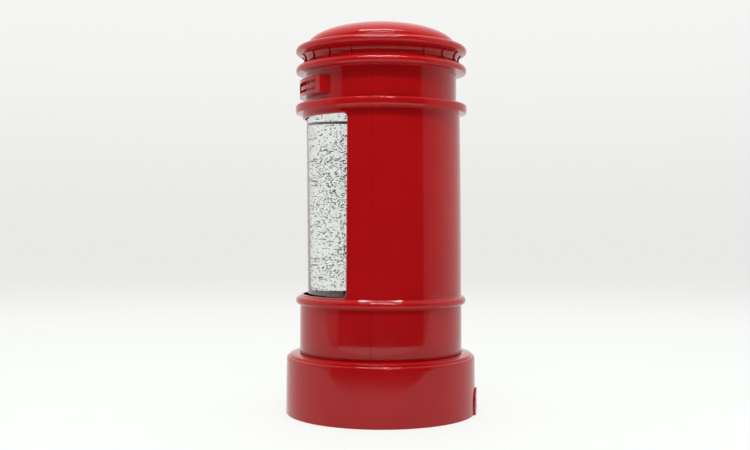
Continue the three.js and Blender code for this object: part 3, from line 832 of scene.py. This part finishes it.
def glitter(name, count, low, high, seed):
    draw = random.Random(seed)
    corners, faces = flake_shape()
    vertices = np.empty((count, len(corners), 3))
    tints_and_shade = np.empty((count, 4))
    for i in range(count):
        place = flake_place(draw, low, high) * MM
        tilt = Vector((draw.gauss(0, 1), draw.gauss(0, 1), draw.gauss(0, 1.3)))
        spin = tilt.to_track_quat("Z", "Y").to_matrix() @ Matrix.Rotation(draw.random() * 6.3, 3, "Z")
        size = draw.choice((0.7, 0.85, 1.0, 1.0, 1.15))
        vertices[i] = corners @ (np.array(spin).T * size) + np.array(place)
        # Painted shade: most flakes get a dark grey to near-black colour. These are darkened copies of the
        # silver glitter, for flakes that mirror the dark front of the tent. One in twenty is gold and one
        # in twenty is blue, and those are their own tints.
        hue = draw.random()
        painted_shade = draw.choice((0.02, 0.03, 0.05, 0.05, 0.10, 0.35))
        tints_and_shade[i] = (painted_shade, painted_shade, painted_shade * 0.98, 1)
        if hue < 0.05:
            tints_and_shade[i] = (0.75, 0.72, 0.25, 1)
        elif hue < 0.10:
            tints_and_shade[i] = (0.35, 0.38, 0.85, 1)
    count_corners = len(corners)
    all_faces = [tuple(v + i * count_corners for v in face) for i in range(count) for face in faces]
    mesh = bpy.data.meshes.new(name)
    mesh.from_pydata(vertices.reshape(-1, 3).tolist(), [], all_faces)
    layer = mesh.color_attributes.new("flake_tint_and_shade", "FLOAT_COLOR", "POINT")
    layer.data.foreach_set("color", np.repeat(tints_and_shade, count_corners, axis=0).ravel())
    piece = bpy.data.objects.new(name, mesh)
    bpy.context.collection.objects.link(piece)
    return piece


def flake_material():
    paint = Paint("glitter_flake", Metallic=1.0, Roughness=0.22)
    # The flake colour read here carries the painted shade of the dark flakes as well as the gold and blue
    # tints.
    tint_and_shade = paint.node("ShaderNodeAttribute", {"attribute_name": "flake_tint_and_shade"}, output="Color")
    mottled = paint.noise(2500, 1.0).ramp(0.3, 0.7, 0.85, 1.0)
    paint.set("Base Color", paint.blend(mottled, (0.3, 0.3, 0.3), tint_and_shade))
    paint.set("Roughness", paint.noise(3000, 1.0).ramp(0.3, 0.7, 0.12, 0.34))
    return paint.material


FLAKE = flake_material()
fit(glitter("glitter_low", FLAKES, 68, 136, 11), FLAKE, "glitter_water")
fit(glitter("glitter_high", FLAKES, 136, WATER_TOP - 0.5, 12), FLAKE, "glitter_water")

# %% [markdown]
# ## The scenery
#
# A low mound covers the impeller and keeps the flakes moving past it. Six holes in it let the water
# rise, and three tunnels through its skirt let it back in. A small rock stands at the front. The
# mound is turned with its skirt, and the holes are cut by rods, as a pattern maker would drill them.

# %% Scenery mound
ROCK_PLACE = (-2.5, -21)
VENT_RING = 12


def mound_outline():
    radii = (0, 6, 12, 18, 24, 30, 35, 39, 42, 44)
    points = [(r, mound_top(r)) for r in radii]
    points += [(r, mound_top(r) - 2) for r in reversed(radii[4:])]
    points += [(22.5, 70), (22.5, 46.5), (20.5, 46.5), (20.5, 70), (18, mound_top(18) - 2)]
    return points + [(r, mound_top(r) - 2) for r in (12, 6, 0)]


def rock():
    outline = [(0, 74.2), (4.9, 74.2), (4.7, 77), (3.6, 78.9), (1.8, 79.7), (0, 79.8)]
    piece = turn("rock", outline, 24, closed=False)
    for vertex in piece.data.vertices:
        if vertex.co.z > 75 * MM:
            lump = noise.noise(vertex.co / (2.6 * MM))
            vertex.co.x += 0.7 * MM * lump
            vertex.co.z -= 0.5 * MM * abs(lump)
    piece.data.transform(Matrix.Translation((ROCK_PLACE[0] * MM, ROCK_PLACE[1] * MM, 0)))
    return piece


def scenery():
    mound = turn("scenery_mound", mound_outline(), 96, closed=False)
    for i in range(3):
        tunnel = block("tunnel", (-30, -3.5, 50.5), (30, 3.5, 57.5))
        tunnel.data.transform(Matrix.Rotation(math.radians(60 * i), 4, "Z"))
        cut(mound, tunnel)
    for i in range(6):
        turned = math.radians(60 * i)
        cut(mound, rod("vent", 3, 60, 85, VENT_RING * math.cos(turned), VENT_RING * math.sin(turned)))
    return mound


def painted_scenery(name, dark, light, moss_colour):
    paint = Paint(name, Roughness=0.7)
    lumps = paint.noise(420, 4.0, 0.6)
    moss = paint.noise(120, 3.0).ramp(0.5, 0.62)
    base = paint.blend(lumps.ramp(0.35, 0.65), dark, light)
    paint.set("Base Color", paint.blend(moss * 0.5, base, moss_colour))
    paint.set("Roughness", 0.55 + lumps * 0.3)
    paint.set("Normal", paint.bump(lumps, 0.5 * MM, 0.6))
    return paint.material


SCENERY = painted_scenery("scenery_plastic", (0.45, 0.45, 0.41), (0.75, 0.75, 0.71), (0.30, 0.29, 0.22))
ROCK = painted_scenery("scenery_rock", (0.22, 0.075, 0.068), (0.36, 0.16, 0.145), (0.20, 0.13, 0.09))
fit(smooth(scenery()), SCENERY, "scenery_plastic", "scenery_deck")
fit(smooth(rock()), ROCK, "scenery_plastic", "scenery_deck")

# %% [markdown]
# ## The underside
#
# Turned over, the lantern shows its working side: a plate let into the base, the battery door with
# its finger ridges, screws, rubber feet and the switch. The plate is a turned disc, and everything
# that stands on it or sinks into it is joined or cut, in the order that a mould would be made. The
# edges are then rounded all together by one bevel.

# %% Black plastic and rubber


def spark_textured(name, dark, light, scale):
    """Moulded plastic with the fine pitted grain that a spark-eroded mould leaves."""
    paint = Paint(name, IOR=1.5)
    grain = paint.noise(scale, 3.0, 0.6)
    rubbed = paint.noise(70, 3.0).ramp(0.5, 0.75)
    paint.set("Base Color", paint.blend(grain.ramp(0.3, 0.7), dark, light))
    paint.set("Roughness", 0.38 + grain * 0.2 + rubbed * 0.1)
    paint.set("Normal", paint.bump(grain, 0.05 * MM, 0.6))
    return paint.material


BLACK = spark_textured("black_plastic", (0.010, 0.010, 0.011), (0.020, 0.020, 0.021), 1500)
WHITE = spark_textured("white_plastic", (0.70, 0.69, 0.65), (0.78, 0.77, 0.74), 1800)
RUBBER = spark_textured("rubber", (0.50, 0.51, 0.50), (0.60, 0.61, 0.60), 900)

# %% Base plate
PLATE_R = 60.15
BAY_X = 29.2
BAY_Y = 23.2
DOOR_X = 30.0
DOOR_Y = 24.3
LATCH_X = 35.2
SWITCH_Y = -42.0
FOOT_RING = 50.0
SCREW_RING = 56.4
FOOT_ANGLES = (45, 135, 225, 315)
SCREW_ANGLES = (30, 150, 210, 330)


def on_ring(radius, degrees):
    turned = math.radians(degrees)
    return radius * math.cos(turned), radius * math.sin(turned)


def base_plate():
    outline = [(0, 0.95), (59.9, 0.95), (PLATE_R, 1.2), (PLATE_R, 3.05), (0, 3.05)]
    plate = turn("base_plate_moulding", outline, 192, closed=False)
    for piece in (
        block("bay", (-30.8, -24.8, 3.0), (30.8, 24.8, 21.8)),
        rod("latch_post", 3.4, 3.0, 11, LATCH_X, 0),
        block("latch_web", (30.3, -1.2, 3.0), (LATCH_X, 1.2, 11)),
    ):
        join(plate, piece)
    for tool in (
        block("bay_room", (-BAY_X, -BAY_Y, 0), (BAY_X, BAY_Y, 20.2)),
        block("door_opening", (-DOOR_X - 0.3, -DOOR_Y - 0.3, 0), (DOOR_X + 0.3, DOOR_Y + 0.3, 3.04)),
        block("latch_opening", (29, -6.3, 0), (38.5, 6.3, 3.04)),
        rod("latch_bore", 1.75, 0, 9.5, LATCH_X, 0, 24),
        rod("hinge_bore", 0.85, -25.9, 25.9, -29, 1.85, 16, "Y"),
        block("switch_slot", (-5.2, SWITCH_Y - 2.3, 0), (5.2, SWITCH_Y + 2.3, 5)),
    ):
        cut(plate, tool)
    for degrees in FOOT_ANGLES:
        cut(plate, rod("foot_seat", 5.3, 0, 1.5, *on_ring(FOOT_RING, degrees), 40))
    for degrees in SCREW_ANGLES:
        cut(plate, rod("screw_seat", 3.1, 0, 2.1, *on_ring(SCREW_RING, degrees), 40))
        cut(plate, rod("screw_hole", 1.7, 0, 5, *on_ring(SCREW_RING, degrees), 24))
    return soften(plate, 0.2, 2, 50)


fit(smooth(base_plate(), math.radians(50)), BLACK, "black_plastic", "base_plate")

# %% [markdown]
# ## The battery door and the switch
#
# The door swings, so it rides on its own body. Its ridges are one row of slim bars near the latch,
# where a thumb presses. The arrow of a real door is left out, since it is a mark and not a shape.

# %% Battery door
HINGE_X = -29.0
HINGE_Z = 1.85


def battery_door():
    door = block("battery_door_moulding", (HINGE_X, -DOOR_Y, 0.92), (DOOR_X, DOOR_Y, 2.8))
    for piece in (
        rod("hinge_barrel", 0.93, -DOOR_Y, DOOR_Y, HINGE_X, HINGE_Z, 24, "Y"),
        rod("hinge_pin", 0.6, -DOOR_Y - 1.3, DOOR_Y + 1.3, HINGE_X, HINGE_Z, 16, "Y"),
        block("tongue", (DOOR_X - 2, -6, 0.92), (LATCH_X + 3, 6, 2.8)),
    ):
        join(door, piece)
    cut(door, block("grip_bed", (13, -11, 0), (27, 11, 1.35)))
    for i in range(7):
        join(door, block("grip_ridge", (14.1 + 1.8 * i, -10, 0.95), (14.9 + 1.8 * i, 10, 1.6)))
    cut(door, rod("screw_hole", 1.6, 0, 5, LATCH_X, 0, 32))
    cut(door, rod("screw_seat", 2.9, 0, 2, LATCH_X, 0, 40))
    return soften(door, 0.18, 2, 50)


fit(smooth(battery_door(), math.radians(50)), BLACK, "black_plastic", "battery_door", body="door")

# %% Switch knob, feet and screws
KNOB_LOW, KNOB_HIGH = [[v / MM for v in corner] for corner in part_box("switch_knob")]


def switch_knob():
    knob = block("switch_knob_moulding", KNOB_LOW, KNOB_HIGH)
    middle = (KNOB_LOW[0] + KNOB_HIGH[0]) / 2
    for i in (-1, 0, 1):
        x = middle + 0.9 * i
        low = (x - 0.2, KNOB_LOW[1] - 1, KNOB_LOW[2] - 1)
        high = (x + 0.2, KNOB_HIGH[1] + 1, KNOB_LOW[2] + 0.3)
        cut(knob, block("grip_groove", low, high))
    return soften(knob, 0.12, 2, 50)


def foot(index, degrees):
    outline = [(0, 0), (4.3, 0), (4.75, 0.12), (5.0, 0.45), (5.0, 1.15), (0, 1.15)]
    piece = turn(f"foot_pad_{index}", outline, 48, closed=False)
    x, y = on_ring(FOOT_RING, degrees)
    piece.data.transform(Matrix.Translation((x * MM, y * MM, 0)))
    return piece


def screw(name, place, seat, head_r, length, slot_half):
    """A pan head screw with a cross recess, its head down."""
    r = head_r
    outline = [(0, seat), (r * 0.55, seat), (r * 0.85, seat + 0.14), (r, seat + 0.42), (r, seat + 0.7)]
    outline += [(1.3, seat + 0.7), (1.3, seat + length - 1), (0.5, seat + length), (0, seat + length)]
    piece = turn(name, outline, 40, closed=False)
    cut(piece, block("recess", (-slot_half, -0.28, seat - 0.5), (slot_half, 0.28, seat + 0.5)))
    cut(piece, block("recess", (-0.28, -slot_half, seat - 0.5), (0.28, slot_half, seat + 0.5)))
    soften(piece, 0.06, 2, 40)
    piece.data.transform(Matrix.Translation((place[0] * MM, place[1] * MM, 0)))
    return smooth(piece)


def brushed_metal(name, dark, light, roughness):
    paint = Paint(name, Metallic=1.0)
    rubbed = paint.noise(500, 3.0, 0.6, paint.stretched(1, 1, 6))
    stains = paint.noise(160, 3.0).ramp(0.5, 0.75)
    paint.set("Base Color", paint.blend(rubbed.ramp(0.3, 0.7), dark, light))
    paint.set("Roughness", roughness + rubbed * 0.12 + stains * 0.12)
    paint.set("Normal", paint.bump(rubbed, 0.02 * MM, 0.4))
    return paint.material


STEEL = brushed_metal("steel", (0.46, 0.46, 0.45), (0.58, 0.58, 0.57), 0.22)
MAGNET = brushed_metal("magnet", (0.05, 0.05, 0.055), (0.09, 0.09, 0.095), 0.42)

fit(smooth(switch_knob(), math.radians(50)), BLACK, "black_plastic", "switch_knob", body="switch_slider")
for index, degrees in enumerate(FOOT_ANGLES, 1):
    fit(smooth(foot(index, degrees)), RUBBER, "rubber", f"foot_{index}")
for index, degrees in enumerate(SCREW_ANGLES, 1):
    piece = screw(f"plate_screw_{index}", on_ring(SCREW_RING, degrees), 1.1, 2.8, 11.9, 1.5)
    fit(piece, STEEL, "steel", f"base_screw_{index}")
fit(screw("latch_screw", (LATCH_X, 0), 1.0, 2.6, 7, 1.4), STEEL, "steel", "door_screw", body="door")

# %% [markdown]
# ## Finishes for the inner pieces
#
# The motor, the boards, the cells and the wires are right as they are in the frame, so they keep
# their shapes. Each gets a finish of its own on its material slot, since they show when the lantern
# is opened.

# %% Boards, cells, lamps and wires


def circuit_board():
    paint = Paint("circuit_board", Roughness=0.35)
    tracks = paint.cells(260, "DISTANCE_TO_EDGE").ramp(0.03, 0.05)
    lacquer = paint.noise(300, 3.0)
    green = paint.blend(lacquer, (0.010, 0.075, 0.030), (0.016, 0.105, 0.042))
    paint.set("Base Color", paint.blend(tracks, (0.028, 0.17, 0.065), green))
    paint.set("Roughness", 0.28 + lacquer * 0.15)
    paint.set("Normal", paint.bump(tracks, 0.04 * MM, 0.4))
    return paint.material


def cell_wrap():
    paint = Paint("cell_wrap", Roughness=0.3)
    along = paint.node("ShaderNodeSeparateXYZ", {}, {0: paint.place()})
    band = along.ramp(0.012, 0.0122)
    wrinkles = paint.noise(240, 3.0, 0.6, paint.stretched(0.3, 1, 1))
    blue = paint.blend(wrinkles, (0.024, 0.060, 0.135), (0.034, 0.080, 0.165))
    paint.set("Base Color", paint.blend(band, blue, (0.52, 0.50, 0.46)))
    paint.set("Roughness", 0.24 + wrinkles * 0.14)
    paint.set("Normal", paint.bump(wrinkles, 0.06 * MM, 0.4))
    return paint.material


def lamp_lens():
    paint = Paint("lamp", IOR=1.5)
    glow = paint.noise(800, 2.0)
    paint.set("Base Color", paint.blend(glow, (0.80, 0.79, 0.74), (0.88, 0.87, 0.82)))
    paint.set("Roughness", 0.14 + glow * 0.12)
    paint.set("Normal", paint.bump(glow, 0.02 * MM, 0.3))
    return paint.material


def wire_sheath():
    paint = Paint("wire_sheath", Roughness=0.45)
    chalk = paint.noise(700, 3.0, 0.6)
    paint.set("Base Color", paint.blend(chalk, (0.045, 0.045, 0.05), (0.085, 0.085, 0.09)))
    paint.set("Roughness", 0.38 + chalk * 0.2)
    paint.set("Normal", paint.bump(chalk, 0.03 * MM, 0.4))
    return paint.material


FINISHES = {
    "red_plastic": RED,
    "black_plastic": BLACK,
    "white_plastic": WHITE,
    "rubber": RUBBER,
    "clear_plastic": CLEAR,
    "glitter_water": WATER,
    "scenery_plastic": SCENERY,
    "steel": STEEL,
    "magnet": MAGNET,
    "circuit_board": circuit_board(),
    "lamp": lamp_lens(),
    "cell_wrap": cell_wrap(),
    "wire_sheath": wire_sheath(),
}
for node, piece in frame["nodes"].items():
    slot_name = piece.data.materials[0].name
    piece.data.materials[0] = FINISHES[slot_name.split(".")[0]]
print("finishes on", len(frame["nodes"]), "frame nodes")

# %% [markdown]
# ## The studio
#
# The lantern stands on a pale floor in a white tent that is open in front. A glossy red shell shows
# exactly that: deep red where it mirrors the dark opening, paler at its sides, and a bright line on
# each ring from the lamps overhead. The tent is the world's light, worked out from the direction
# alone. What the camera sees behind the lantern is a pale sheet, so it is kept apart. A band of that sheet
# just below the horizon is darker, which is painted shade, and the sheet brightens slightly higher up.

# %% Floor
FLOOR_BACK = -0.50
FLOOR_FRONT = 0.20


def floor():
    clear_selection()
    bpy.ops.mesh.primitive_plane_add(size=1, location=((FLOOR_BACK + FLOOR_FRONT) / 2, 0, 0))
    piece = named("studio_floor")
    piece.scale = (FLOOR_FRONT - FLOOR_BACK, 2.6, 1)
    paint = Paint("studio_floor", Roughness=0.8, Emission_Color=(0.985, 1.0, 0.98))
    paint.set("Emission Strength", 0.74)
    paint.set("Base Color", paint.blend(paint.noise(30, 2.0), (0.155, 0.165, 0.16), (0.165, 0.175, 0.17)))
    piece.data.materials.append(paint.material)


floor()

# %% Tent light
FRONT_DARK = 0.02
SIDE_NEAR = 0.42
TENT_WHITE = 0.92
TABLE_BRIGHT = 1.5


def world():
    made = bpy.data.worlds.new("studio_tent")
    bpy.context.scene.world = made
    made.use_nodes = True
    tree = made.node_tree
    tree.nodes.clear()

    def add(kind, settings=None, sockets=None):
        node = tree.nodes.new(kind)
        for key, value in (settings or {}).items():
            setattr(node, key, value)
        for key, value in (sockets or {}).items():
            if isinstance(value, bpy.types.NodeSocket):
                tree.links.new(value, node.inputs[key])
            else:
                node.inputs[key].default_value = value
        return node.outputs[0] if node.outputs else node

    def ramp(value, start, end, low, high, kind="LINEAR"):
        sockets = {"Value": value, "From Min": start, "From Max": end, "To Min": low, "To Max": high}
        return add("ShaderNodeMapRange", {"interpolation_type": kind}, sockets)

    def maths(operation, a, b):
        return add("ShaderNodeMath", {"operation": operation}, {0: a, 1: b})

    direction = tree.nodes.new("ShaderNodeTexCoord").outputs["Generated"]
    split = tree.nodes.new("ShaderNodeSeparateXYZ")
    tree.links.new(direction, split.inputs[0])
    height = split.outputs["Z"]
    level = add("ShaderNodeVectorMath", {"operation": "MULTIPLY"}, {0: direction, 1: (1, 1, 0)})
    level = add("ShaderNodeVectorMath", {"operation": "NORMALIZE"}, {0: level})
    dot = tree.nodes.new("ShaderNodeVectorMath")
    dot.operation = "DOT_PRODUCT"
    tree.links.new(level, dot.inputs[0])
    dot.inputs[1].default_value = TOWARD_CAMERA
    facing = dot.outputs["Value"]
    walls = ramp(facing, -0.3, 0.42, TENT_WHITE, SIDE_NEAR)
    opening = ramp(facing, 0.44, 0.50, 0.0, 1.0, "SMOOTHSTEP")
    below_roof = ramp(height, 0.955, 0.985, 1.0, 0.0, "SMOOTHSTEP")
    dark = maths("MULTIPLY", opening, below_roof)
    table_near = ramp(height, -0.165, -0.115, TABLE_BRIGHT, FRONT_DARK, "SMOOTHSTEP")
    table_far = ramp(height, -0.50, -0.36, 0.75 / TABLE_BRIGHT, 1.0, "SMOOTHSTEP")
    sides = maths("MULTIPLY", walls, maths("SUBTRACT", 1.0, dark))
    table = maths("MULTIPLY", table_near, table_far)
    tent = maths("ADD", sides, maths("MULTIPLY", dark, table))
    # Painted shade: the sheet that the camera sees is darker in a band just below the horizon, and it
    # brightens slightly higher up.
    painted_shade_band = ramp(height, -0.11, -0.045, 0.955, 0.815, "SMOOTHSTEP")
    rise = ramp(height, -0.02, 0.20, 0.0, 0.095, "SMOOTHSTEP")
    sheet = maths("ADD", painted_shade_band, rise)
    rays = tree.nodes.new("ShaderNodeLightPath").outputs["Is Camera Ray"]
    mix = tree.nodes.new("ShaderNodeMix")
    tree.links.new(rays, mix.inputs[0])
    tree.links.new(tent, mix.inputs[2])
    tree.links.new(sheet, mix.inputs[3])
    sockets = {"Color": (1.0, 1.0, 0.985, 1), "Strength": mix.outputs[0]}
    background = add("ShaderNodeBackground", {}, sockets)
    add("ShaderNodeOutputWorld", {}, {0: background})


world()

# %% [markdown]
# ## The lamps
#
# Two rows of small lamps hang across the tent, one overhead and one in front. The dome mirrors them
# as two dotted lines, and the front row also draws the thin bright line in the frieze. One area lamp
# makes each row: its own shader reads how far along the lamp a ray starts, and lights only a row of
# short patches.

# %% Lamp rows
LAMP_HEIGHT = 1.06
LAMP_LENGTH = 0.64
LAMP_WIDTH = 0.035
LAMP_DOTS = 15


def lamp_row(name, reach, power):
    data = bpy.data.lights.new(name, "AREA")
    data.shape = "RECTANGLE"
    data.size = LAMP_LENGTH
    data.size_y = LAMP_WIDTH
    data.energy = power
    data.use_nodes = True
    tree = data.node_tree

    def maths(operation, a, b=0.0):
        node = tree.nodes.new("ShaderNodeMath")
        node.operation = operation
        for index, value in enumerate((a, b)):
            if isinstance(value, bpy.types.NodeSocket):
                tree.links.new(value, node.inputs[index])
            else:
                node.inputs[index].default_value = value
        return node.outputs[0]

    place = tree.nodes.new("ShaderNodeNewGeometry")
    split = tree.nodes.new("ShaderNodeSeparateXYZ")
    tree.links.new(place.outputs["Parametric"], split.inputs[0])
    along = maths("FRACT", maths("MULTIPLY", split.outputs["X"], float(LAMP_DOTS)))
    tree.links.new(maths("LESS_THAN", along, 0.55), tree.nodes["Emission"].inputs["Strength"])
    light = bpy.data.objects.new(name, data)
    light.location = Vector((reach * TOWARD_CAMERA[0], reach * TOWARD_CAMERA[1], LAMP_HEIGHT))
    aim = Vector((0, 0, 0.2)) - light.location
    light.rotation_euler = aim.to_track_quat("-Z", "Y").to_euler()
    bpy.context.collection.objects.link(light)


lamp_row("lamps_overhead", 0.15, 7.0)
lamp_row("lamps_in_front", 0.68, 9.0)

# %% Soft lamp above the front
FILL_POWER = 5.0


def fill_lamp():
    """A broad lamp above and in front. It is kept out of mirrored rays, as a diffused lamp would be."""
    data = bpy.data.lights.new("front_fill", "AREA")
    data.shape = "RECTANGLE"
    data.size = 0.9
    data.size_y = 0.6
    data.energy = FILL_POWER
    light = bpy.data.objects.new("front_fill", data)
    place = Vector((0.85 * TOWARD_CAMERA[0], 0.85 * TOWARD_CAMERA[1], 1.12))
    light.location = place
    light.rotation_euler = (Vector((0, 0, 0.14)) - place).to_track_quat("-Z", "Y").to_euler()
    light.visible_glossy = False
    light.visible_transmission = False
    light.visible_camera = False
    bpy.context.collection.objects.link(light)


fill_lamp()
scene = bpy.context.scene
scene.view_settings.view_transform = "Standard"
scene.cycles.use_denoising = True
scene.cycles.max_bounces = 14
scene.cycles.transmission_bounces = 14
scene.cycles.caustics_reflective = False
scene.cycles.caustics_refractive = False
